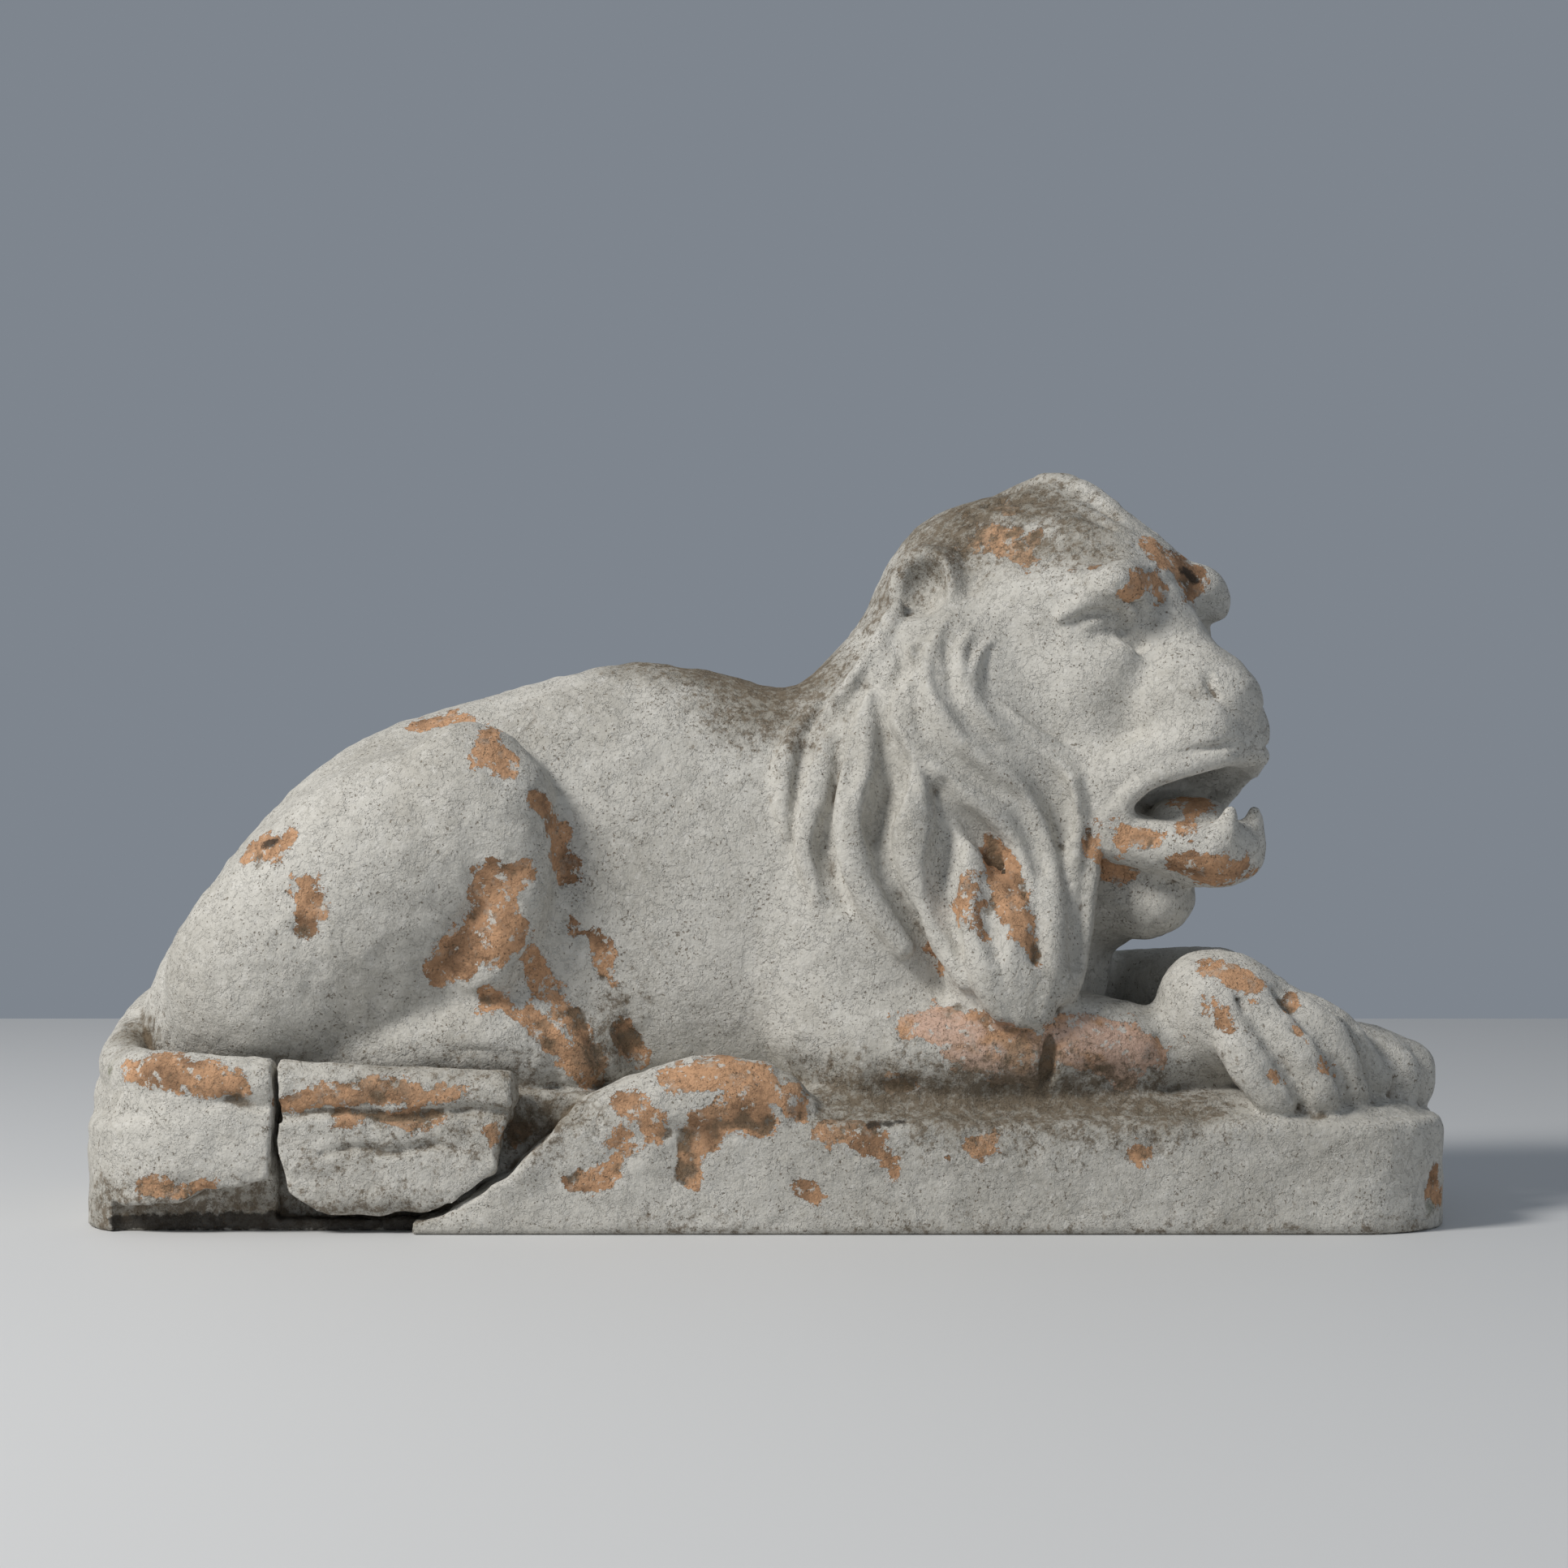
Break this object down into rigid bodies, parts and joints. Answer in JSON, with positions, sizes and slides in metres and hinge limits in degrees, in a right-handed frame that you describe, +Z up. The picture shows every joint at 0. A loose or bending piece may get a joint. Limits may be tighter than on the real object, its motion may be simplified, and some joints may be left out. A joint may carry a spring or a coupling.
{
  "type": "garden statue",
  "caption": "Reclining terracotta lion on its plinth, head turned aside and forelegs crossed, its white paint flaking, a broken length of tail stuck back.",
  "frame": {"origin": "centre of the plinth's underside", "axes": "+X the way the lion's body points, +Z up, -Y the lion's right side, to which its head is turned"},
  "size_m": [1.0402, 0.3666, 0.5813],
  "materials": {
    "painted_terracotta": "flaking matt white paint over fired clay"
  },
  "bodies": {
    "root": {"lion_on_plinth": "painted_terracotta", "broken_tail_length": "painted_terracotta"}
  },
  "joints": []
}
